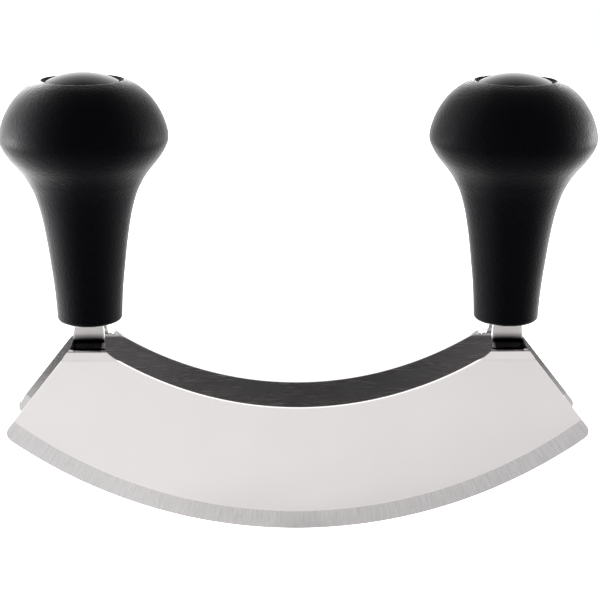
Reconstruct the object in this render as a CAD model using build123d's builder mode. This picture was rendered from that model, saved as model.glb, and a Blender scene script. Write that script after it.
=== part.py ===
from build123d import *
from math import radians, sqrt, tan
import os

# Mezzaluna: two crescent blades side by side, joined by two knob handles.
# X runs along the blades, Y across the pair and Z up. The origin lies midway between the
# blades, level with the lowest points of their cutting edges. Lengths are in millimetres.

# Fits and cuts shared by several pieces
clearance = 0.1
overrun = 1.0

# Blades: crescents of sheet steel, ground on both faces along the edge
blade_gap = 19.0
sheet = 1.2
edge_radius = 119.0
end_angle = 38.1
back_radius = 85.5
blade_depth = 32.2
tip_round = 2.4
grind_width = 4.85
edge_land = 0.2

# Tangs: each steps inwards in a sloping joggle, then rises side by side with the other blade's
tang_spacing = 104.0
tang_gap = 4.9
joggle_angle = 12.0
bend_inside = 1.8
neck_bend_inside = 3.6
root_width = 8.4
root_round = 1.6
neck_width = 7.25
neck_length = 5.5

# Tails: the narrow ends of the tangs, clinched outwards over the washer
tail_width = 4.5
tail_bend = 0.8
tail_reach = 5.8
tail_round = 0.6

# Handles: a flared stem under a domed knob
stem_height = 44.8
dome_height = 15.0
foot_radius = 8.05
foot_round = 1.1
knob_radius = 20.4
rim_land = 0.15
flare_shares = [(0.1, 0.32), (0.23, 0.585), (0.37, 0.72), (0.535, 0.81), (0.795, 0.9), (0.91, 0.945)]
lead_in = 0.85
slot_chamfer = 0.3

# The bore under the cap, and the web at its floor that the washer bears on
bore_radius = 7.1
bore_depth = 24.8
web = 3.0

# Washers
washer_radius = 6.7
washer_thickness = 1.2

# Caps: a dome on a slit skirt that snaps into the bore
cap_radius = 8.9
cap_rise = 2.1
cap_edge = 2.5
cap_edge_chamfer = 0.3
cap_drop = 0.4
cap_wall = 1.5
skirt_wall = 1.2
skirt_length = 4.6
skirt_chamfer = 0.4
snap_ridge = 0.35
snap_depth = 3.2
slit_count = 4
slit_width = 1.6
slit_land = 0.6

# Levels and places that follow from the sizes above
outer_face = blade_gap / 2 + sheet
tang_face = tang_gap / 2 + sheet
tang_middles = [(0, -(tang_gap + sheet) / 2), (0, (tang_gap + sheet) / 2)]
bend_outside = bend_inside + sheet
tang_inner_edge = (tang_spacing - root_width) / 2
tang_outer_edge = (tang_spacing + root_width) / 2
back_beside_tang = blade_depth + back_radius - sqrt(back_radius**2 - tang_inner_edge**2)
end_beside_tang = edge_radius - tang_outer_edge / tan(radians(end_angle))
tang_foot = min(back_beside_tang, end_beside_tang) - bend_outside
joggle_level = back_beside_tang
neck_level = joggle_level + (outer_face - tang_face) * tan(radians(joggle_angle))
handle_bottom = joggle_level + neck_length
handle_top = handle_bottom + stem_height + dome_height
recess_radius = cap_radius + clearance
rim_radius = recess_radius + lead_in + rim_land
cap_rim = handle_top - cap_drop
cap_seat = cap_rim - cap_edge
web_top = cap_seat - bore_depth
web_bottom = web_top - web
washer_top = web_top + washer_thickness
skirt_radius = bore_radius - clearance
snap_level = cap_seat - snap_depth
blade_span = 2 * (edge_radius + overrun) * tan(radians(end_angle))
handle_places = {"left": -tang_spacing / 2, "right": tang_spacing / 2}


def upright(x):
    """The XZ plane through the handle axis at x, for profiles that turn about that axis."""
    return Plane(origin=(x, 0, 0), x_dir=(1, 0, 0), z_dir=(0, -1, 0))


def level(x, height):
    """A horizontal plane centred on the handle axis at x."""
    return Plane(origin=(x, 0, height))


def blade_blank():
    """Front view of a blade: the crescent, its rounded tips, the tangs and their tails."""
    with BuildSketch(Plane.XZ) as blank:
        with Locations((0, edge_radius)):
            Circle(edge_radius)
        with Locations((0, blade_depth + back_radius)):
            Circle(back_radius, mode=Mode.SUBTRACT)
        # The ends lie on two radii of the cutting edge
        with BuildLine():
            Polyline(
                (-blade_span / 2, -overrun),
                (0, edge_radius),
                (blade_span / 2, -overrun),
                close=True,
            )
        make_face(mode=Mode.INTERSECT)
        ends = blank.vertices().group_by(Axis.X)
        fillet(ends[0] + ends[-1], tip_round)
        for x in handle_places.values():
            with Locations((x, tang_foot)):
                Rectangle(root_width, web_bottom - tang_foot, align=(Align.CENTER, Align.MIN))
            with Locations((x, web_bottom)):
                Rectangle(tail_width, washer_top + sheet - web_bottom, align=(Align.CENTER, Align.MIN))
            near_tang = blank.vertices().filter_by_position(Axis.X, x - root_width, x + root_width)
            roots = near_tang.filter_by_position(Axis.Y, tang_foot, handle_bottom)
            fillet(roots, root_round)
    return blank.sketch


def blade_plan():
    """Plan of a blade: the plate with its first bend, and the tangs narrowing to the neck."""
    with BuildSketch(Plane.XY.offset(-overrun)) as plan:
        with Locations((0, -outer_face)):
            Rectangle(blade_span, bend_outside, align=(Align.CENTER, Align.MIN))
        for x in handle_places.values():
            with BuildLine():
                Polyline(
                    (x - root_width / 2, bend_outside - outer_face),
                    (x - neck_width / 2, -tang_face),
                    (x - neck_width / 2, 0),
                    (x + neck_width / 2, 0),
                    (x + neck_width / 2, -tang_face),
                    (x + root_width / 2, bend_outside - outer_face),
                    close=True,
                )
            make_face()
    return plan.sketch


# Front blade. The sheet's section is bent first, then cut to its front view and its plan,
# and last the bevels are ground: each is a cone round the axis of the cutting edge.
with BuildPart() as front_blade:
    with BuildSketch(Plane.YZ):
        with BuildLine():
            FilletPolyline(
                (-outer_face, 0),
                (-outer_face, joggle_level),
                (-tang_face, neck_level),
                (-tang_face, washer_top),
                (-tail_reach, washer_top),
                radius=(bend_outside, neck_bend_inside, tail_bend),
            )
            offset(amount=sheet, side=Side.RIGHT)
        make_face()
    extrude(amount=blade_span / 2, both=True)
    extrude(blade_blank(), amount=outer_face + overrun, both=True, mode=Mode.INTERSECT)
    extrude(blade_plan(), amount=washer_top + sheet + 2 * overrun, mode=Mode.INTERSECT)
    upright_edges = front_blade.edges().filter_by(Axis.Z)
    fillet(upright_edges.filter_by_position(Axis.Z, washer_top, washer_top + sheet), tail_round)
    with BuildSketch(Plane.YZ):
        with Locations((sheet / 2 - outer_face, 0)):
            for side in (-1, 1):
                with BuildLine():
                    Polyline(
                        (side * edge_land / 2, 0),
                        (side * sheet / 2, grind_width),
                        (side * (sheet / 2 + overrun), grind_width),
                        (side * (sheet / 2 + overrun), 0),
                        close=True,
                    )
                make_face()
    revolve(axis=Axis((0, 0, edge_radius), (0, 1, 0)), mode=Mode.SUBTRACT)
front_blade.part.label = "front_blade"

# Rear blade: the same stamping, turned to face it
with BuildPart() as rear_blade:
    mirror(front_blade.part, about=Plane.XZ)
rear_blade.part.label = "rear_blade"


def knob_handle(side, x):
    """One handle: turned outside, bored from the top, slotted from below for the tangs."""
    with BuildPart() as handle:
        # Outside: rounded foot, flared stem, and a dome that meets the flare at the widest circle
        with BuildSketch(upright(x)):
            with BuildLine():
                foot_end = (foot_radius, handle_bottom + foot_round)
                widest = (knob_radius, handle_bottom + stem_height)
                flare = [
                    (
                        foot_radius + radius_share * (knob_radius - foot_radius),
                        handle_bottom + height_share * stem_height,
                    )
                    for radius_share, height_share in flare_shares
                ]
                Line((0, handle_top), (0, handle_bottom))
                Line((0, handle_bottom), (foot_radius - foot_round, handle_bottom))
                RadiusArc((foot_radius - foot_round, handle_bottom), foot_end, -foot_round)
                Spline(foot_end, *flare, widest, tangents=[(0, 1), (0, 1)])
                TangentArc(widest, (rim_radius, handle_top), tangent=(0, 1))
                Line((rim_radius, handle_top), (0, handle_top))
            make_face()
        revolve(axis=Axis((x, 0, 0), (0, 0, 1)))
        # Seat for the cap, with a sloped lead-in, and the bore under it
        with Locations(level(x, handle_top)):
            CounterBoreHole(
                radius=bore_radius,
                counter_bore_radius=recess_radius,
                counter_bore_depth=handle_top - cap_seat,
                depth=handle_top - web_top,
            )
        mouth = handle.edges().filter_by(GeomType.CIRCLE).group_by(Axis.Z)[-1].sort_by(SortBy.RADIUS)[0]
        chamfer(mouth, lead_in)
        # Groove that the ridge round the cap's skirt snaps into
        with BuildSketch(upright(x)):
            with BuildLine():
                Polyline(
                    (bore_radius + snap_ridge, snap_level),
                    (bore_radius - overrun, snap_level + snap_ridge + overrun),
                    (bore_radius - overrun, snap_level - snap_ridge - overrun),
                    close=True,
                )
            make_face()
        revolve(axis=Axis((x, 0, 0), (0, 0, 1)), mode=Mode.SUBTRACT)
        # A slot for each tang, up to the web that their shoulders stop against
        with BuildSketch(level(x, handle_bottom)):
            with Locations(*tang_middles):
                Rectangle(neck_width + 2 * clearance, sheet + 2 * clearance)
        extrude(amount=web_bottom - handle_bottom, mode=Mode.SUBTRACT)
        slot_mouth = handle.edges().filter_by(GeomType.LINE).group_by(Axis.Z)[0]
        chamfer(slot_mouth, slot_chamfer)
        # Narrower slots through the web for the tails
        with BuildSketch(level(x, web_bottom)):
            with Locations(*tang_middles):
                Rectangle(tail_width + 2 * clearance, sheet + 2 * clearance)
        extrude(amount=web, mode=Mode.SUBTRACT)
    handle.part.label = side + "_handle"
    return handle.part


def retaining_washer(side, x):
    """One washer: a steel disc whose slots are rounded where the tails bend over it."""
    with BuildPart() as washer:
        with BuildSketch(level(x, web_top)):
            Circle(washer_radius)
            with Locations(*tang_middles):
                Rectangle(tail_width + 2 * clearance, sheet + 2 * clearance, mode=Mode.SUBTRACT)
        extrude(amount=washer_thickness)
        top_edges = washer.faces().sort_by(Axis.Z)[-1].edges()
        long_edges = top_edges.filter_by(GeomType.LINE).filter_by(Axis.X).group_by(Axis.Y)
        fillet(long_edges[0] + long_edges[-1], tail_bend)
    washer.part.label = side + "_washer"
    return washer.part


def knob_cap(side, x):
    """One cap: a domed disc over a slit skirt with a snap ridge, all turned from one profile."""
    skirt_bottom = cap_seat - skirt_length
    skirt_inside = skirt_radius - skirt_wall
    with BuildPart() as cap:
        with BuildSketch(upright(x)) as profile:
            with BuildLine():
                TangentArc((0, cap_rim + cap_rise), (cap_radius, cap_rim), tangent=(1, 0))
                Polyline(
                    (cap_radius, cap_rim),
                    (cap_radius, cap_seat),
                    (skirt_radius, cap_seat),
                    (skirt_radius, snap_level + snap_ridge),
                    (skirt_radius + snap_ridge, snap_level),
                    (skirt_radius, snap_level - snap_ridge),
                    (skirt_radius, skirt_bottom + skirt_chamfer),
                    (skirt_radius - skirt_chamfer, skirt_bottom),
                    (skirt_inside, skirt_bottom),
                    (skirt_inside, cap_rim - cap_wall),
                )
                TangentArc(
                    (0, cap_rim + cap_rise - cap_wall),
                    (skirt_inside, cap_rim - cap_wall),
                    tangent=(1, 0),
                )
                Line((0, cap_rim + cap_rise - cap_wall), (0, cap_rim + cap_rise))
            make_face()
            rim = profile.vertices().group_by(Axis.X)[-1].sort_by(Axis.Y)[-1]
            chamfer(rim, cap_edge_chamfer)
        revolve(axis=Axis((x, 0, 0), (0, 0, 1)))
        # Slits that let the skirt flex as it snaps in
        with BuildSketch(level(x, skirt_bottom)):
            with PolarLocations(skirt_radius, slit_count):
                Rectangle(2 * skirt_wall + overrun, slit_width)
        extrude(amount=skirt_length - slit_land, mode=Mode.SUBTRACT)
    cap.part.label = side + "_cap"
    return cap.part


os.makedirs("parts", exist_ok=True)
pieces = [front_blade.part, rear_blade.part]
for side, x in handle_places.items():
    pieces.append(knob_handle(side, x))
    pieces.append(retaining_washer(side, x))
    pieces.append(knob_cap(side, x))
for piece in pieces:
    export_step(piece, "parts/" + piece.label + ".step")
    print(piece.label, len(piece.solids()), round(piece.volume, 2))
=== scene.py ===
import math

import bmesh
import bpy
from mathutils import Matrix, Vector


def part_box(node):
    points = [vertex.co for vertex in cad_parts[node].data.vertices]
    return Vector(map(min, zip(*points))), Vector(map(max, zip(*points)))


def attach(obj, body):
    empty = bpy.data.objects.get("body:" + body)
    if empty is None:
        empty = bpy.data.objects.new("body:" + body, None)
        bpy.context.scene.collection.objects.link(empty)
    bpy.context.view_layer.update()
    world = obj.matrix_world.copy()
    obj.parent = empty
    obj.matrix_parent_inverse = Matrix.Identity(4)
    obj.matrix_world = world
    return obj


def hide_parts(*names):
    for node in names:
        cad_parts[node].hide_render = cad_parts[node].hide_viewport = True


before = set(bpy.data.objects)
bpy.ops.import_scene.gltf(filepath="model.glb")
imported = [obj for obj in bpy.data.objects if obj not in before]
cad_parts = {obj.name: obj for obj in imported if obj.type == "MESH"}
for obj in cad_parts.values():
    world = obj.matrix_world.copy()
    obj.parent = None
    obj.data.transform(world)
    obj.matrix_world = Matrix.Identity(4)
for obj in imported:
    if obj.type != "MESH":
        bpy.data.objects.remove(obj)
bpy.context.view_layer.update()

# The camera. The photograph was taken from about 0.37 m in front of the tool and a little above
# it, with a longish lens, so the rear blade shows over the front one and the knobs are seen
# nearly level. Place and aim come from fitting both blades' edges and both handles' outlines.
CAMERA_PLACE = Vector((-0.008846, -0.371597, 0.163130))
CAMERA_PITCH = 0.277677
CAMERA_YAW = 0.02475
CAMERA_ROLL = 0.0050
CAMERA_SEES_FROM = 0.01
SENSOR_WIDTH = 36.0
FOCAL_PIXELS = 1548.28
FRAME_PIXELS = 600.0

aim = Vector(
    (
        math.sin(CAMERA_YAW) * math.cos(CAMERA_PITCH),
        math.cos(CAMERA_YAW) * math.cos(CAMERA_PITCH),
        -math.sin(CAMERA_PITCH),
    )
)
level_right = Vector((math.cos(CAMERA_YAW), -math.sin(CAMERA_YAW), 0.0))
level_up = level_right.cross(aim)
camera_right = math.cos(CAMERA_ROLL) * level_right + math.sin(CAMERA_ROLL) * level_up
camera_up = -math.sin(CAMERA_ROLL) * level_right + math.cos(CAMERA_ROLL) * level_up
camera_turn = Matrix((camera_right, camera_up, -aim)).transposed().to_4x4()
camera_data = bpy.data.cameras.new("camera")
camera_data.sensor_width = SENSOR_WIDTH
camera_data.lens = FOCAL_PIXELS / FRAME_PIXELS * SENSOR_WIDTH
camera_data.clip_start = CAMERA_SEES_FROM
camera = bpy.data.objects.new("camera", camera_data)
camera.matrix_world = Matrix.Translation(CAMERA_PLACE) @ camera_turn
bpy.context.scene.collection.objects.link(camera)
bpy.context.scene.camera = camera

# The blades. Each is stamped from 1.2 mm stainless sheet as a crescent with two tangs, ground
# along the cutting edge on both faces, then joggled so that its tangs stand near the other's.
# Here too the blank is made flat, with its ground band and broken edges, and then bent.
SHEET = 0.0012
EDGE_RADIUS = 0.119
END_ANGLE = math.radians(38.1)
BACK_RADIUS = 0.0855
BLADE_DEPTH = 0.0322
TIP_ROUND = 0.0024
GRIND_WIDTH = 0.00485
EDGE_LAND = 0.0002
TANG_SPACING = 0.104
ROOT_WIDTH = 0.0084
ROOT_ROUND = 0.0025
NECK_WIDTH = 0.00725
TAIL_WIDTH = 0.0045
TAIL_ROUND = 0.0006
TANG_GAP = 0.0049
JOGGLE_ANGLE = math.radians(12.0)
BEND_INSIDE = 0.0018
NECK_BEND_INSIDE = 0.0036
TAIL_BEND = 0.0008
TAIL_REACH = 0.0058
WEB = 0.003
BROKEN_EDGE = 0.00028

ARC_STEPS = 120
BEND_STEPS = 14
TIP_STEPS = 8
ROOT_STEPS = 8
TAIL_STEPS = 5
BROKEN_EDGE_STEPS = 3
TOUCHING = 1e-7

# How upright a face's normal is at least on plain sheet and on the ground band
SHEET_UPRIGHT = 0.9999
BAND_UPRIGHT = 0.99

blade_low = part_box("front_blade")[0]
washer_low, washer_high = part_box("left_washer")
outer_face = -blade_low.y
half_sheet = SHEET / 2
tang_face = TANG_GAP / 2 + SHEET
bend_middle = BEND_INSIDE + half_sheet
bend_outside = BEND_INSIDE + SHEET
neck_bend_middle = NECK_BEND_INSIDE + half_sheet
tail_bend_middle = TAIL_BEND + half_sheet
tip_centre = EDGE_RADIUS - TIP_ROUND
grind_radius = EDGE_RADIUS - GRIND_WIDTH
back_centre = BLADE_DEPTH + BACK_RADIUS
tang_inner = (TANG_SPACING - ROOT_WIDTH) / 2
tang_outer = (TANG_SPACING + ROOT_WIDTH) / 2
joggle_level = back_centre - math.sqrt(BACK_RADIUS**2 - tang_inner**2)
web_bottom = washer_low.z - WEB
tail_bend_level = washer_high.z - TAIL_BEND

# Distances along the flat blank, up from the cutting edge, at which its bends start and end. The
# run between the first bend and the neck's slopes up by the joggle angle.
bend_turn = math.pi / 2 - JOGGLE_ANGLE
rise, run = math.sin(JOGGLE_ANGLE), math.cos(JOGGLE_ANGLE)
bend_length = bend_middle * bend_turn
neck_bend_length = neck_bend_middle * bend_turn
tail_bend_length = tail_bend_middle * math.pi / 2
first_bend = joggle_level - bend_outside * math.tan(bend_turn / 2)
run_start = first_bend + bend_length
run_start_y = bend_outside - outer_face - bend_middle * rise
run_start_z = first_bend + bend_middle * run
neck_bend_y = half_sheet - tang_face - neck_bend_middle
run_length = (neck_bend_y + neck_bend_middle * rise - run_start_y) / run
run_end = run_start + run_length
neck_start = run_end + neck_bend_length
neck_level = run_start_z + run_length * rise + neck_bend_middle * run
shoulder = neck_start + web_bottom - neck_level
tail_bend_start = neck_start + tail_bend_level - neck_level
leg_start = tail_bend_start + tail_bend_length
tail_end = leg_start + TAIL_REACH - tang_face - TAIL_BEND


def arc(centre, radius, start, end, steps):
    """Points of a plane arc with both its ends. Angles run from the first axis to the second."""
    points = []
    for k in range(steps + 1):
        angle = start + (end - start) * k / steps
        points.append((centre[0] + radius * math.cos(angle), centre[1] + radius * math.sin(angle)))
    return points


def blank_reach(angle):
    """How far the blank reaches from the cutting edge's centre at an angle, tips rounded."""
    past = abs(angle) - END_ANGLE + math.asin(TIP_ROUND / tip_centre)
    if past <= 0:
        return EDGE_RADIUS
    across = tip_centre * math.sin(past)
    return tip_centre * math.cos(past) + math.sqrt(max(TIP_ROUND**2 - across**2, 0.0))


def top_of_blank():
    """Outline of the flat blank over its ground band, from the right end over to the left."""
    tang_x = TANG_SPACING / 2
    neck, tail = NECK_WIDTH / 2, TAIL_WIDTH / 2
    right_corner = (tang_x + tail - TAIL_ROUND, tail_end - TAIL_ROUND)
    left_corner = (tang_x - tail + TAIL_ROUND, tail_end - TAIL_ROUND)
    outer_x = tang_outer + ROOT_ROUND
    outer_y = EDGE_RADIUS + (ROOT_ROUND - outer_x * math.cos(END_ANGLE)) / math.sin(END_ANGLE)
    inner_x = tang_inner - ROOT_ROUND
    inner_y = back_centre - math.sqrt((BACK_RADIUS - ROOT_ROUND) ** 2 - inner_x**2)
    back_angle = math.atan2(inner_y - back_centre, inner_x)
    points = [
        *arc((outer_x, outer_y), ROOT_ROUND, math.pi + END_ANGLE, math.pi, ROOT_STEPS),
        (tang_outer, run_start),
        (tang_x + neck, neck_start),
        (tang_x + neck, shoulder),
        (tang_x + tail, shoulder),
        *arc(right_corner, TAIL_ROUND, 0, math.pi / 2, TAIL_STEPS),
        *arc(left_corner, TAIL_ROUND, math.pi / 2, math.pi, TAIL_STEPS),
        (tang_x - tail, shoulder),
        (tang_x - neck, shoulder),
        (tang_x - neck, neck_start),
        (tang_inner, run_start),
        *arc((inner_x, inner_y), ROOT_ROUND, 0, back_angle, ROOT_STEPS),
        *arc((0, back_centre), BACK_RADIUS, back_angle, -math.pi / 2, ARC_STEPS // 2)[1:],
    ]
    return points + [(-x, y) for x, y in reversed(points[:-1])]


def flat_blank():
    """A blank before it is bent, ground along the cutting edge and with its other edges broken."""
    angles = [END_ANGLE * (2 * k / ARC_STEPS - 1) for k in range(ARC_STEPS + 1)]
    tip_turn = math.asin(TIP_ROUND / tip_centre)
    for k in range(1, TIP_STEPS):
        past = math.asin(math.sin(k * math.pi / (2 * TIP_STEPS)) * TIP_ROUND / tip_centre)
        angles += [END_ANGLE - tip_turn + past, tip_turn - END_ANGLE - past]
    angles = sorted(angles)
    outline = top_of_blank()
    work = bmesh.new()
    loops = []
    for out in (1, -1):
        edge_row, grind_row = [], []
        for angle in angles:
            reach = blank_reach(angle)
            ground = (reach - grind_radius) / GRIND_WIDTH * (half_sheet - EDGE_LAND / 2)
            across, down = math.sin(angle), math.cos(angle)
            place = (reach * across, EDGE_RADIUS - reach * down, out * (half_sheet - ground))
            edge_row.append(work.verts.new(place))
            place = (grind_radius * across, EDGE_RADIUS - grind_radius * down, out * half_sheet)
            grind_row.append(work.verts.new(place))
        top_row = [work.verts.new((x, y, out * half_sheet)) for x, y in outline]
        for k in range(len(angles) - 1):
            work.faces.new((edge_row[k], edge_row[k + 1], grind_row[k + 1], grind_row[k]))
        work.faces.new(grind_row + top_row)
        loops.append(edge_row + [grind_row[-1]] + top_row + [grind_row[0]])
    front, back = loops
    rim_edges = []
    for k in range(len(front)):
        n = (k + 1) % len(front)
        work.faces.new((front[k], front[n], back[n], back[k]))
        if k >= len(angles) - 1:
            rim_edges.append(work.edges.get((front[k], front[n])))
            rim_edges.append(work.edges.get((back[k], back[n])))
    bmesh.ops.recalc_face_normals(work, faces=work.faces[:])
    bmesh.ops.bevel(
        work,
        geom=rim_edges,
        offset=BROKEN_EDGE,
        segments=BROKEN_EDGE_STEPS,
        profile=0.5,
        affect="EDGES",
        clamp_overlap=True,
    )
    return work


def bent(x, along, out):
    """Where a point of the flat blank ends up. out is its distance from the sheet's middle."""
    if along <= first_bend:
        return x, half_sheet - outer_face - out, along
    if along <= run_start:
        turn = (along - first_bend) / bend_middle
        reach = bend_middle + out
        corner = bend_outside - outer_face
        return x, corner - reach * math.cos(turn), first_bend + reach * math.sin(turn)
    if along <= run_end:
        run_y = run_start_y + (along - run_start) * run - out * rise
        return x, run_y, run_start_z + (along - run_start) * rise + out * run
    if along <= neck_start:
        turn = JOGGLE_ANGLE + (along - run_end) / neck_bend_middle
        reach = neck_bend_middle - out
        return x, neck_bend_y + reach * math.sin(turn), neck_level - reach * math.cos(turn)
    if along <= tail_bend_start:
        return x, half_sheet - tang_face - out, neck_level + along - neck_start
    corner = -tang_face - TAIL_BEND
    if along <= leg_start:
        turn = (along - tail_bend_start) / tail_bend_middle
        reach = tail_bend_middle - out
        return x, corner + reach * math.cos(turn), tail_bend_level + reach * math.sin(turn)
    return x, corner - along + leg_start, washer_high.z + half_sheet - out


def face_kind(face):
    """What a face of the flat blank is: 0 for plain sheet, 1 for the ground band, 2 for a rim."""
    upright = abs(face.normal.z)
    if upright > SHEET_UPRIGHT:
        return 0
    if upright > BAND_UPRIGHT:
        return 1
    return 2


def put_in_order(elements, place):
    """Put points or faces in order of their place, so that every run stores them alike."""
    ranks = {element: rank for rank, element in enumerate(sorted(elements, key=place))}
    elements.sort(key=ranks.get)


def piece_from(work, name):
    """An object in the scene with the mesh that was worked on."""
    mesh = bpy.data.meshes.new(name)
    work.to_mesh(mesh)
    work.free()
    piece = bpy.data.objects.new(name, mesh)
    bpy.context.scene.collection.objects.link(piece)
    return piece


def blade(name, facing):
    """One blade. facing is 1 for the front one and -1 for the rear one, turned to face it.

    Its materials are, in this order, the outer faces', the ground band's and the inner face's.
    """
    work = flat_blank()
    for start, length in (
        (first_bend, bend_length),
        (run_end, neck_bend_length),
        (tail_bend_start, tail_bend_length),
    ):
        for k in range(BEND_STEPS + 1):
            bmesh.ops.bisect_plane(
                work,
                geom=work.verts[:] + work.edges[:] + work.faces[:],
                dist=TOUCHING,
                plane_co=(0, start + length * k / BEND_STEPS, 0),
                plane_no=(0, 1, 0),
            )
    work.normal_update()
    kinds = {face: face_kind(face) for face in work.faces}
    for face, kind in kinds.items():
        face.smooth = True
        from_centre = (Vector((0, EDGE_RADIUS)) - face.calc_center_median().to_2d()).length
        if kind == 1 or (kind == 2 and from_centre > grind_radius):
            face.material_index = 1
        elif kind == 0 and face.normal.z < 0:
            face.material_index = 2
    for edge in work.edges:
        if len({kinds[face] for face in edge.link_faces}) > 1:
            edge.smooth = False
    for vertex in work.verts:
        x, y, z = bent(*vertex.co)
        vertex.co = (facing * x, facing * y, z)
    put_in_order(work.verts, lambda vertex: vertex.co[:])
    put_in_order(work.faces, lambda face: face.calc_center_median()[:])
    return piece_from(work, name)


class Nodes:
    """A node tree, with short ways to add a node and to feed its inputs."""

    # Most of a noise lies between these values
    NOISE_SPAN = (0.3, 0.7)

    def __init__(self, tree):
        self.tree = tree

    def feed(self, target, value):
        """Give an input a value of its own, or join another node's output to it."""
        if isinstance(value, bpy.types.NodeSocket):
            self.tree.links.new(value, target)
        else:
            target.default_value = value

    def add(self, kind, **settings):
        """A new node. A setting is for the input of that name, or else for the node itself."""
        made = self.tree.nodes.new(kind)
        for key, value in settings.items():
            name = key.replace("_", " ")
            if name in made.inputs:
                self.feed(made.inputs[name], value)
            else:
                setattr(made, key, value)
        return made

    def maths(self, operation, *values):
        made = self.add("ShaderNodeMath", operation=operation)
        for target, value in zip(made.inputs, values, strict=False):
            self.feed(target, value)
        return made.outputs["Value"]

    def ramp(self, source, low, high, to_low, to_high, **settings):
        """A value of the source between low and high, moved to lie between the other two."""
        made = self.add("ShaderNodeMapRange", **settings, Value=source, From_Min=low, From_Max=high)
        self.feed(made.inputs["To Min"], to_low)
        self.feed(made.inputs["To Max"], to_high)
        return made.outputs["Result"]

    def noise(self, place, scale, detail=2.0):
        made = self.add("ShaderNodeTexNoise", Vector=place, Scale=scale, Detail=detail)
        return made.outputs["Fac"]

    def spread(self, noise, low, high):
        """A noise, stretched to run between two values."""
        return self.ramp(noise, *self.NOISE_SPAN, low, high)

    def shades(self, noise, low, high):
        """A colour that runs between two colours with a noise."""
        share = self.spread(noise, 0.0, 1.0)
        made = self.add("ShaderNodeMix", data_type="RGBA", Factor=share)
        self.feed(made.inputs["A"], (*low, 1.0))
        self.feed(made.inputs["B"], (*high, 1.0))
        return made.outputs["Result"]

    def bump(self, height, strength, distance):
        made = self.add("ShaderNodeBump", Height=height, Strength=strength, Distance=distance)
        return made.outputs["Normal"]


class Finish(Nodes):
    """A material, with its nodes and the place on the piece that they start from."""

    def __init__(self, name):
        self.material = bpy.data.materials.new(name)
        self.material.use_nodes = True
        super().__init__(self.material.node_tree)
        self.place = self.add("ShaderNodeTexCoord").outputs["Object"]

    def surface(self, **settings):
        """Settings of the surface, each the same all over or fed by another node."""
        shader = self.tree.nodes["Principled BSDF"]
        for key, value in settings.items():
            self.feed(shader.inputs[key.replace("_", " ")], value)


# The grain that rolling leaves: how many of its lines there are to a metre along the blade,
# through the sheet and up the blade
SHEET_GRAIN = (90.0, 400.0, 5200.0)


def sheet_grain(finish):
    """The fine lines along the blade that are left by rolling."""
    stretch = finish.add("ShaderNodeMapping", Vector=finish.place, Scale=SHEET_GRAIN)
    return finish.noise(stretch.outputs["Vector"], scale=1.0)


# The outer faces: rolled and polished sheet, bright. On the step of the joggle, from the first
# bend to just under the neck's and short of the sheet's edges, the colour is darkened as a painted
# reflection of the handles' black feet, with a faint painted shade on the tangs above. The press
# leaves the tangs above the step dull.
PAINTED_REFLECTION_DEPTH = 0.97
PAINTED_SHADE_ON_TANG = 0.1
PAINTED_REFLECTION_START = 0.0002
PAINTED_REFLECTION_FADES_BELOW_NECK = (0.0031, 0.0014)
PAINTED_REFLECTION_SIDES = (0.0033, 0.0036)
TANG_DULLS_BELOW_NECK = (0.003, 0.002)
TANG_DULLNESS = 0.4

sheet_finish = Finish("polished_sheet")
grain = sheet_grain(sheet_finish)
clouds = sheet_finish.noise(sheet_finish.place, scale=55.0)
steel = sheet_finish.shades(clouds, low=(0.73, 0.701, 0.694), high=(0.75, 0.72, 0.713))
spot = sheet_finish.add("ShaderNodeSeparateXYZ", Vector=sheet_finish.place).outputs
# Painted dark reflection on the joggle's step, and faint painted shade on the tangs, mixed into the
# steel's colour
painted_reflection_starts = sheet_finish.ramp(
    spot["Z"], joggle_level - PAINTED_REFLECTION_START, joggle_level + PAINTED_REFLECTION_START, 0.0, 1.0
)
painted_reflection_fades = [neck_level - below for below in PAINTED_REFLECTION_FADES_BELOW_NECK]
painted_reflection_ends = sheet_finish.ramp(spot["Z"], *painted_reflection_fades, PAINTED_REFLECTION_DEPTH, PAINTED_SHADE_ON_TANG)
from_middle = sheet_finish.maths("ABSOLUTE", spot["X"])
from_tang = sheet_finish.maths("SUBTRACT", from_middle, TANG_SPACING / 2)
painted_reflection_width = sheet_finish.ramp(sheet_finish.maths("ABSOLUTE", from_tang), *PAINTED_REFLECTION_SIDES, 1.0, 0.0)
painted_reflection_level = sheet_finish.maths("MULTIPLY", painted_reflection_starts, painted_reflection_ends)
painted_reflection = sheet_finish.maths("MULTIPLY", painted_reflection_level, painted_reflection_width)
steel_with_painted_reflection = sheet_finish.add("ShaderNodeMix", data_type="RGBA", blend_type="MULTIPLY", Factor=painted_reflection)
sheet_finish.feed(steel_with_painted_reflection.inputs["A"], steel)
sheet_finish.feed(steel_with_painted_reflection.inputs["B"], (0.0, 0.0, 0.0, 1.0))
tang_dulls = [neck_level - below for below in TANG_DULLS_BELOW_NECK]
dulling = sheet_finish.ramp(spot["Z"], *tang_dulls, 0.0, TANG_DULLNESS)
sheet_finish.surface(
    Metallic=1.0,
    Base_Color=steel_with_painted_reflection.outputs["Result"],
    Roughness=sheet_finish.maths("ADD", sheet_finish.spread(grain, 0.1, 0.16), dulling),
    Normal=sheet_finish.bump(grain, strength=0.05, distance=0.00002),
)

# The facing sides: the rolled sheet's duller finish, darker still as painted shade in the gap
inner_finish = Finish("rolled_sheet_and_painted_gap_shade")
grain = sheet_grain(inner_finish)
clouds = inner_finish.noise(inner_finish.place, scale=90.0)
inner_finish.surface(
    Metallic=1.0,
    Base_Color=inner_finish.shades(clouds, low=(0.39, 0.384, 0.384), high=(0.42, 0.412, 0.412)),
    Roughness=inner_finish.spread(grain, 0.22, 0.28),
    Normal=inner_finish.bump(grain, strength=0.03, distance=0.00002),
)

# The ground band: fine wheel marks that run across it, square to the cutting edge
MARK_WIDTH = 0.00028
MARK_LENGTH = 0.0045

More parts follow.
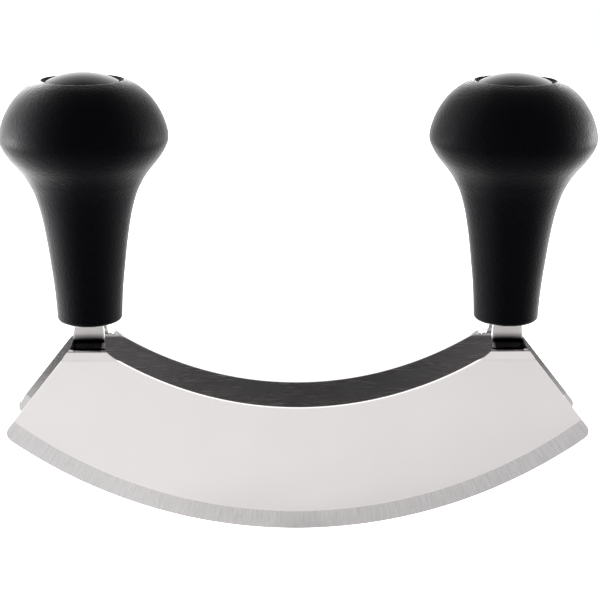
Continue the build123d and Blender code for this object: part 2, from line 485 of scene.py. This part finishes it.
ground_finish = Finish("ground_band")
spot = ground_finish.add("ShaderNodeSeparateXYZ", Vector=ground_finish.place).outputs
drop = ground_finish.maths("SUBTRACT", EDGE_RADIUS, spot["Z"])
turn = ground_finish.maths("ARCTAN2", spot["X"], drop)
mark_place = ground_finish.add(
    "ShaderNodeCombineXYZ",
    X=ground_finish.maths("MULTIPLY", turn, EDGE_RADIUS / MARK_WIDTH),
    Y=ground_finish.maths("MULTIPLY", drop, 1.0 / MARK_LENGTH),
    Z=ground_finish.maths("MULTIPLY", spot["Y"], 1.0 / MARK_LENGTH),
)
marks = ground_finish.noise(mark_place.outputs["Vector"], scale=1.0, detail=3.0)
ground_finish.surface(
    Metallic=1.0,
    Base_Color=ground_finish.shades(marks, low=(0.525, 0.506, 0.51), high=(0.62, 0.6, 0.604)),
    Roughness=ground_finish.spread(marks, 0.24, 0.4),
    Normal=ground_finish.bump(marks, strength=0.25, distance=0.00003),
)

for name, facing in (("front_blade", 1), ("rear_blade", -1)):
    piece = blade(name + "_steel", facing)
    for finish in (sheet_finish, ground_finish, inner_finish):
        piece.data.materials.append(finish.material)
    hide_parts(name)
    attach(piece, "root")

# The handles. Each is one moulding in hard black plastic with a fine grained skin: a flared stem
# under a domed knob, a slot below for each tang, and a bore from the top through which the tangs'
# tails are clinched over a washer. Here it is made of rings, and its slots are cut afterwards.
FOOT_ROUND = 0.0011
RIM_LAND = 0.00015
CAP_RECESS = 0.009
CAP_SEAT_DROP = 0.0029
LEAD_IN = 0.00085
BORE_RADIUS = 0.0071
BORE_DEPTH = 0.0248
SNAP_DEPTH = 0.0032
SNAP_RIDGE = 0.00035
SLOT_CHAMFER = 0.0003
CLEARANCE = 0.0001
SMALL_ROUND = 0.0001

# The line of stem and knob, from the rounding at the foot to the rim at the top: its radius, and
# its height above the foot
KNOB_LINE = [
    (0.00805, 0.0011),
    (0.00822, 0.0048),
    (0.00862, 0.0099),
    (0.00917, 0.0147),
    (0.00984, 0.02015),
    (0.01072, 0.0256),
    (0.0115, 0.0291),
    (0.01255, 0.0325),
    (0.01362, 0.0348),
    (0.01462, 0.03655),
    (0.01605, 0.0385),
    (0.0175, 0.04025),
    (0.01897, 0.0423),
    (0.02008, 0.0445),
    (0.02036, 0.046),
    (0.02019, 0.0476),
    (0.01948, 0.05),
    (0.0184, 0.0524),
    (0.01685, 0.0548),
    (0.0151, 0.05675),
    (0.0126, 0.05865),
    (0.01, 0.0598),
]
RING_POINTS = 192
LINE_STEPS = 6
FITTING_ROUNDS = 30
FOOT_STEPS = 8
ROUND_STEPS = 4
SHARP_ANGLE = math.radians(32)

handle_foot, handle_top = (corner.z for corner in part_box("left_handle"))
bore_seat = handle_top - CAP_SEAT_DROP
bore_floor = bore_seat - BORE_DEPTH


def smooth_line(points, steps):
    """A smooth line, a cubic B-spline, through points, with some steps from each to the next."""
    guides = [Vector(point) for point in points]
    for _ in range(FITTING_ROUNDS):
        for k in range(1, len(points) - 1):
            guides[k] = (6 * Vector(points[k]) - guides[k - 1] - guides[k + 1]) / 4
    guides = [2 * guides[0] - guides[1], *guides, 2 * guides[-1] - guides[-2]]
    line = []
    for k in range(len(points) - 1):
        for n in range(steps):
            t = n / steps
            # The four guides' shares, in sixths
            weights = ((1 - t) ** 3, 3 * t**3 - 6 * t**2 + 4, 1 + 3 * t + 3 * t**2 - 3 * t**3, t**3)
            place = Vector((0.0, 0.0))
            for weight, guide in zip(weights, guides[k : k + 4], strict=True):
                place += weight / 6 * guide
            line.append(tuple(place))
    return line + [points[-1]]


def eased(profile, rounds):
    """A profile with some of its corners rounded. rounds gives a radius for each such corner."""
    line = []
    for k, here in enumerate(profile):
        radius = rounds.get(k)
        if radius is None:
            line.append(here)
            continue
        here = Vector(here)
        back = (Vector(profile[k - 1]) - here).normalized()
        on = (Vector(profile[k + 1]) - here).normalized()
        half = math.acos(max(-1.0, min(1.0, back.dot(on)))) / 2
        centre = here + (back + on).normalized() * radius / math.sin(half)
        start = (here + back * radius / math.tan(half) - centre).normalized()
        end = (here + on * radius / math.tan(half) - centre).normalized()
        for n in range(ROUND_STEPS + 1):
            line.append(tuple(centre + radius * start.slerp(end, n / ROUND_STEPS).normalized()))
    return line


def turned(name, x, profile):
    """A solid of revolution about the axis at x, from a profile that starts and ends on it."""
    work = bmesh.new()
    rows = []
    for radius, height in profile:
        row = []
        for k in range(RING_POINTS if radius > TOUCHING else 1):
            a = 2 * math.pi * k / RING_POINTS
            row.append(work.verts.new((x + radius * math.cos(a), radius * math.sin(a), height)))
        rows.append(row)
    for low, high in zip(rows, rows[1:], strict=False):
        for k in range(RING_POINTS):
            n = (k + 1) % RING_POINTS
            if len(low) == 1:
                work.faces.new((low[0], high[n], high[k]))
            elif len(high) == 1:
                work.faces.new((low[k], low[n], high[0]))
            else:
                work.faces.new((low[k], low[n], high[n], high[k]))
    bmesh.ops.recalc_face_normals(work, faces=work.faces[:])
    piece = piece_from(work, name)
    piece.data.shade_smooth()
    piece.data.set_sharp_from_angle(angle=SHARP_ANGLE)
    return piece


def add_loft(work, rows):
    """Faces from each closed row of points to the next, and one over either end."""
    for low, high in zip(rows, rows[1:], strict=False):
        for k in range(len(low)):
            n = (k + 1) % len(low)
            work.faces.new((low[k], low[n], high[n], high[k]))
    work.faces.new(rows[0])
    work.faces.new(rows[-1])


def keep_result(piece, modifier):
    """Make what a modifier turns a piece into the piece's own mesh, and remove the modifier."""
    seen = piece.evaluated_get(bpy.context.evaluated_depsgraph_get())
    mesh = bpy.data.meshes.new_from_object(seen)
    piece.modifiers.remove(modifier)
    piece.data = mesh
    mesh.set_sharp_from_angle(angle=SHARP_ANGLE)


def slot_tool(x):
    """The room for both tangs in a handle: flared mouths, the slots, and narrower ones above."""
    tang, tail = NECK_WIDTH / 2 + CLEARANCE, TAIL_WIDTH / 2 + CLEARANCE
    deep = half_sheet + CLEARANCE
    # How far it reaches out of the plastic at both ends
    past = SLOT_CHAMFER
    sections = [
        (tang + SLOT_CHAMFER + past, deep + SLOT_CHAMFER + past, handle_foot - past),
        (tang, deep, handle_foot + SLOT_CHAMFER),
        (tang, deep, web_bottom),
        (tail, deep, web_bottom),
        (tail, deep, bore_floor + past),
    ]
    work = bmesh.new()
    for middle in (half_sheet - tang_face, tang_face - half_sheet):
        rows = []
        for half_x, half_y, height in sections:
            corners = [(-half_x, -half_y), (half_x, -half_y), (half_x, half_y), (-half_x, half_y)]
            rows.append([work.verts.new((x + cx, middle + cy, height)) for cx, cy in corners])
        add_loft(work, rows)
    bmesh.ops.recalc_face_normals(work, faces=work.faces[:])
    return piece_from(work, "slot_tool")


def handle_profile():
    """The handle's section: from the foot up the outside, over the rim and down into the bore."""
    foot_radius, rim_radius = KNOB_LINE[0][0], KNOB_LINE[-1][0]
    foot_centre = (foot_radius - FOOT_ROUND, handle_foot + FOOT_ROUND)
    outside = arc(foot_centre, FOOT_ROUND, -math.pi / 2, 0, FOOT_STEPS)
    knob_line = [(radius, handle_foot + height) for radius, height in KNOB_LINE]
    outside += smooth_line(knob_line, LINE_STEPS)[1:]
    snap = bore_seat - SNAP_DEPTH
    inside = eased(
        [
            outside[-1],
            (rim_radius - RIM_LAND, handle_top),
            (CAP_RECESS, handle_top - LEAD_IN),
            (CAP_RECESS, bore_seat),
            (BORE_RADIUS, bore_seat),
            (BORE_RADIUS, snap + SNAP_RIDGE),
            (BORE_RADIUS + SNAP_RIDGE, snap),
            (BORE_RADIUS, snap - SNAP_RIDGE),
            (BORE_RADIUS, bore_floor),
        ],
        {1: SMALL_ROUND, 2: SMALL_ROUND},
    )
    return [(0.0, handle_foot)] + outside + inside[1:] + [(0.0, bore_floor)]


# Moulded black plastic. Its fine grain scatters light along the silhouette as a sheen does, and
# it is a little shinier in patches.
handle_finish = Finish("grained_black_plastic")
grain = handle_finish.noise(handle_finish.place, scale=1500.0, detail=3.0)
patches = handle_finish.noise(handle_finish.place, scale=160.0, detail=3.0)
handle_finish.surface(
    Specular_IOR_Level=0.02,
    Sheen_Weight=1.0,
    Sheen_Roughness=0.29,
    Sheen_Tint=(1.0, 0.98, 0.98, 1.0),
    Base_Color=handle_finish.shades(
        grain, low=(0.0005, 0.0005, 0.001), high=(0.0015, 0.0015, 0.003)
    ),
    Roughness=handle_finish.spread(patches, 0.46, 0.56),
    Normal=handle_finish.bump(grain, strength=0.9, distance=0.00011),
)

handle_places = {"left": -TANG_SPACING / 2, "right": TANG_SPACING / 2}
for side, x in handle_places.items():
    piece = turned(side + "_handle_moulding", x, handle_profile())
    tool = slot_tool(x)
    cut = piece.modifiers.new("slots", "BOOLEAN")
    cut.operation = "DIFFERENCE"
    cut.solver = "EXACT"
    cut.object = tool
    keep_result(piece, cut)
    bpy.data.objects.remove(tool)
    piece.data.materials.append(handle_finish.material)
    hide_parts(side + "_handle")
    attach(piece, "root")

# The caps. Each is a smooth domed disc, moulded in the same black plastic but polished, that
# closes the bore. A skirt under it is slit into four fingers with a ridge that snaps in.
CAP_RADIUS = 0.0089
CAP_RISE = 0.0021
CAP_EDGE = 0.0025
CAP_ROUND = 0.00035
CAP_WALL = 0.0015
SKIRT_WALL = 0.0012
SKIRT_LENGTH = 0.0046
SKIRT_CHAMFER = 0.0004
FINGER_COUNT = 4
SLIT_WIDTH = 0.0016
SLIT_LAND = 0.0006
FINGER_STEPS = 16
DOME_STEPS = 24
HOLLOW_STEPS = 12

cap_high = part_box("left_cap")[1]
cap_rim = cap_high.z - CAP_RISE
cap_seat = cap_rim - CAP_EDGE
ring_bottom = cap_seat - SLIT_LAND
skirt_radius = BORE_RADIUS - CLEARANCE
skirt_inside = skirt_radius - SKIRT_WALL


def dome_line(radius, level, rise, steps):
    """An arc from the top of a shallow dome down to its edge."""
    sphere = (radius**2 + rise**2) / (2 * rise)
    edge = math.asin(radius / sphere)
    line = []
    for k in range(steps + 1):
        height = level + rise - sphere + sphere * math.cos(edge * k / steps)
        line.append((sphere * math.sin(edge * k / steps), height))
    return line


def cap_profile():
    """The cap's skin without its fingers, from the top of the dome round to its hollow."""
    dome = dome_line(CAP_RADIUS, cap_rim, CAP_RISE, DOME_STEPS)
    hollow = dome_line(skirt_inside, cap_rim - CAP_WALL, CAP_RISE, HOLLOW_STEPS)
    ring = [
        (CAP_RADIUS, cap_seat),
        (skirt_radius, cap_seat),
        (skirt_radius, ring_bottom),
        (skirt_inside, ring_bottom),
    ]
    corner = len(dome) - 1
    return eased(dome + ring + hollow[::-1], {corner: CAP_ROUND, corner + 1: SMALL_ROUND})


def finger(name):
    """One finger of the skirt, centred on the +X side of an axis at the origin."""
    bottom = cap_seat - SKIRT_LENGTH
    snap = cap_seat - SNAP_DEPTH
    section = [
        (skirt_radius, ring_bottom),
        (skirt_radius, snap + SNAP_RIDGE),
        (skirt_radius + SNAP_RIDGE, snap),
        (skirt_radius, snap - SNAP_RIDGE),
        (skirt_radius, bottom + SKIRT_CHAMFER),
        (skirt_radius - SKIRT_CHAMFER, bottom),
        (skirt_inside, bottom),
        (skirt_inside, ring_bottom),
    ]
    reach = math.pi / FINGER_COUNT - math.asin(SLIT_WIDTH / 2 / skirt_radius)
    work = bmesh.new()
    rows = []
    for k in range(FINGER_STEPS + 1):
        a = reach * (2 * k / FINGER_STEPS - 1)
        rows.append([work.verts.new((r * math.cos(a), r * math.sin(a), z)) for r, z in section])
    add_loft(work, rows)
    bmesh.ops.recalc_face_normals(work, faces=work.faces[:])
    return piece_from(work, name)


def finger_ring_tree(material):
    """Geometry Nodes: copies of one finger, spread evenly round the axis."""
    tree = bpy.data.node_groups.new("fingers_round_axis", "GeometryNodeTree")
    sockets = tree.interface
    sockets.new_socket("Finger", in_out="INPUT", socket_type="NodeSocketGeometry")
    count = sockets.new_socket("Finger count", in_out="INPUT", socket_type="NodeSocketInt")
    axis_x = sockets.new_socket("Axis X", in_out="INPUT", socket_type="NodeSocketFloat")
    sockets.new_socket("Fingers", in_out="OUTPUT", socket_type="NodeSocketGeometry")
    ring = Nodes(tree)
    given = ring.add("NodeGroupInput").outputs
    axis = ring.add("ShaderNodeCombineXYZ", X=given["Axis X"]).outputs["Vector"]
    points = ring.add("GeometryNodePoints", Count=given["Finger count"], Position=axis)
    index = ring.add("GeometryNodeInputIndex").outputs["Index"]
    step = ring.maths("DIVIDE", 2 * math.pi, given["Finger count"])
    turn = ring.maths("MULTIPLY", ring.maths("ADD", index, 0.5), step)
    copies = ring.add(
        "GeometryNodeInstanceOnPoints",
        Points=points.outputs["Points"],
        Instance=given["Finger"],
        Rotation=ring.add("ShaderNodeCombineXYZ", Z=turn).outputs["Vector"],
    )
    real = ring.add("GeometryNodeRealizeInstances", Geometry=copies.outputs["Instances"])
    finish = ring.add(
        "GeometryNodeSetMaterial", Geometry=real.outputs["Geometry"], Material=material
    )
    ring.add("NodeGroupOutput", Fingers=finish.outputs["Geometry"])
    return tree, count.identifier, axis_x.identifier


# The same plastic, polished, with faint wear
cap_finish = Finish("polished_black_plastic")
wear = cap_finish.noise(cap_finish.place, scale=420.0, detail=4.0)
cap_finish.surface(
    Specular_IOR_Level=0.55,
    Base_Color=cap_finish.shades(wear, low=(0.002, 0.002, 0.0022), high=(0.004, 0.004, 0.0043)),
    Roughness=cap_finish.spread(wear, 0.1, 0.15),
    Normal=cap_finish.bump(wear, strength=0.06, distance=0.00002),
)

finger_tree, count_input, axis_input = finger_ring_tree(cap_finish.material)
for side, x in handle_places.items():
    piece = turned(side + "_cap_moulding", x, cap_profile())
    piece.data.materials.append(cap_finish.material)
    fingers = finger(side + "_cap_fingers")
    spread = fingers.modifiers.new("fingers", "NODES")
    spread.node_group = finger_tree
    spread[count_input] = FINGER_COUNT
    spread[axis_input] = x
    keep_result(fingers, spread)
    for moulding in (piece, fingers):
        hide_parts(side + "_cap")
        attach(moulding, "root")

# The washers. Each is a slotted steel disc at the floor of the bore, punched from zinc-plated
# sheet, with the tangs' tails clinched over it. They are the frame's own nodes with a finish.
washer_finish = Finish("zinc_plate")
spangle = washer_finish.noise(washer_finish.place, scale=900.0, detail=3.0)
washer_finish.surface(
    Metallic=1.0,
    Base_Color=washer_finish.shades(spangle, low=(0.52, 0.52, 0.52), high=(0.62, 0.62, 0.62)),
    Roughness=washer_finish.spread(spangle, 0.28, 0.42),
    Normal=washer_finish.bump(spangle, strength=0.1, distance=0.00002),
)
for side in handle_places:
    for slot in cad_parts[side + "_washer"].material_slots:
        slot.material = washer_finish.material

# The studio: a white table that runs on as the background in a soft white room. Behind the object
# are a key on the left and a low soft box at either side, for the sheen down the handles' sides.
TABLE_REACH = 1.0
TABLE_WHITE = 0.8
# How much the table glows in the mirror of metal and for light that falls on the object, and how
# much more than that for the camera, so that it ends up white
TABLE_GLOW_IN_METAL = 0.46
TABLE_GLOW = 0.65
TABLE_LIFT = 0.75

table_mesh = bpy.data.meshes.new("table")
quarters = ((-1, -1), (1, -1), (1, 1), (-1, 1))
corners = [(x * TABLE_REACH, y * TABLE_REACH, 0.0) for x, y in quarters]
table_mesh.from_pydata(corners, [], [(0, 1, 2, 3)])
table = bpy.data.objects.new("table", table_mesh)
bpy.context.scene.collection.objects.link(table)
table_material = bpy.data.materials.new("white_table")
table_material.use_nodes = True
table_nodes = Nodes(table_material.node_tree)
table_nodes.tree.nodes.remove(table_nodes.tree.nodes["Principled BSDF"])
ray = table_nodes.add("ShaderNodeLightPath").outputs
glow = table_nodes.ramp(ray["Is Glossy Ray"], 0.0, 1.0, TABLE_GLOW, TABLE_GLOW_IN_METAL)
glow_as_seen = table_nodes.maths("MULTIPLY_ADD", ray["Is Camera Ray"], TABLE_LIFT, glow)
table_colour = (TABLE_WHITE, TABLE_WHITE, TABLE_WHITE, 1.0)
matte = table_nodes.add("ShaderNodeBsdfDiffuse", Color=table_colour)
lift = table_nodes.add("ShaderNodeEmission", Strength=glow_as_seen)
both = table_nodes.add("ShaderNodeAddShader")
table_nodes.feed(both.inputs[0], matte.outputs["BSDF"])
table_nodes.feed(both.inputs[1], lift.outputs["Emission"])
table_surface = table_nodes.tree.nodes["Material Output"].inputs["Surface"]
table_nodes.feed(table_surface, both.outputs["Shader"])
table_mesh.materials.append(table_material)

# The room is plain white to the camera. Its light on the object comes from the walls, under a
# dark ceiling. Metal mirrors the walls in front, and behind the object a bright backdrop that
# darkens upwards. The pairs are heights of a direction, from 0 for level to 1 for straight up,
# and BACKDROP_FROM is how far back it points where the backdrop has taken over from the walls.
ROOM_WHITE = 1.0
ROOM_LIGHT = 0.95
CEILING_SHARE = 0.04
CEILING_STARTS = (0.35, 0.65)
ROOM_SEEN_IN_METAL = 0.975
CEILING_SEEN_IN_METAL = 0.15
METAL_CEILING_STARTS = (0.95, 0.995)
BACKDROP = 1.55
BACKDROP_ENDS = (0.35, 0.85)
BACKDROP_FROM = 0.3

room = bpy.data.worlds.new("white_room")
bpy.context.scene.world = room
room.use_nodes = True
room_nodes = Nodes(room.node_tree)
ray = room_nodes.add("ShaderNodeLightPath").outputs
direction = room_nodes.add("ShaderNodeTexCoord").outputs["Generated"]
towards = room_nodes.add("ShaderNodeSeparateXYZ", Vector=direction).outputs
walls = room_nodes.ramp(
    towards["Z"],
    *CEILING_STARTS,
    ROOM_LIGHT,
    ROOM_LIGHT * CEILING_SHARE,
    interpolation_type="SMOOTHSTEP",
)
mirrored = room_nodes.ramp(
    towards["Z"], *METAL_CEILING_STARTS, ROOM_SEEN_IN_METAL, CEILING_SEEN_IN_METAL
)
backdrop = room_nodes.ramp(towards["Z"], *BACKDROP_ENDS, BACKDROP, CEILING_SEEN_IN_METAL)
in_metal = room_nodes.ramp(towards["Y"], 0.0, BACKDROP_FROM, mirrored, backdrop)
unseen = room_nodes.ramp(ray["Is Glossy Ray"], 0.0, 1.0, walls, in_metal)
seen = room_nodes.ramp(ray["Is Camera Ray"], 0.0, 1.0, unseen, ROOM_WHITE)
background = room_nodes.tree.nodes["Background"].inputs
room_nodes.feed(background["Color"], (1.0, 1.0, 1.0, 1.0))
room_nodes.feed(background["Strength"], seen)


def soft_box(name, place, target, size, watts):
    """A rectangular lamp at a place, turned to face a target."""
    lamp = bpy.data.lights.new(name, "AREA")
    lamp.shape = "RECTANGLE"
    lamp.size, lamp.size_y = size
    lamp.energy = watts
    box = bpy.data.objects.new(name, lamp)
    facing = (Vector(target) - Vector(place)).to_track_quat("-Z", "Y")
    box.matrix_world = Matrix.Translation(Vector(place)) @ facing.to_matrix().to_4x4()
    bpy.context.scene.collection.objects.link(box)


soft_box(
    "left_key", place=(-0.7, 0.28, 0.42), target=(-0.02, 0.0, 0.05), size=(0.4, 0.4), watts=3.2
)
soft_box(
    "left_sheen", place=(-0.8, 0.2, 0.055), target=(-0.02, 0.0, 0.07), size=(0.48, 0.1), watts=24.5
)
soft_box(
    "right_sheen", place=(0.74, 0.4, 0.055), target=(-0.02, 0.0, 0.07), size=(0.46, 0.1), watts=9.3
)

scene_view = bpy.context.scene.view_settings
scene_view.view_transform = "Standard"
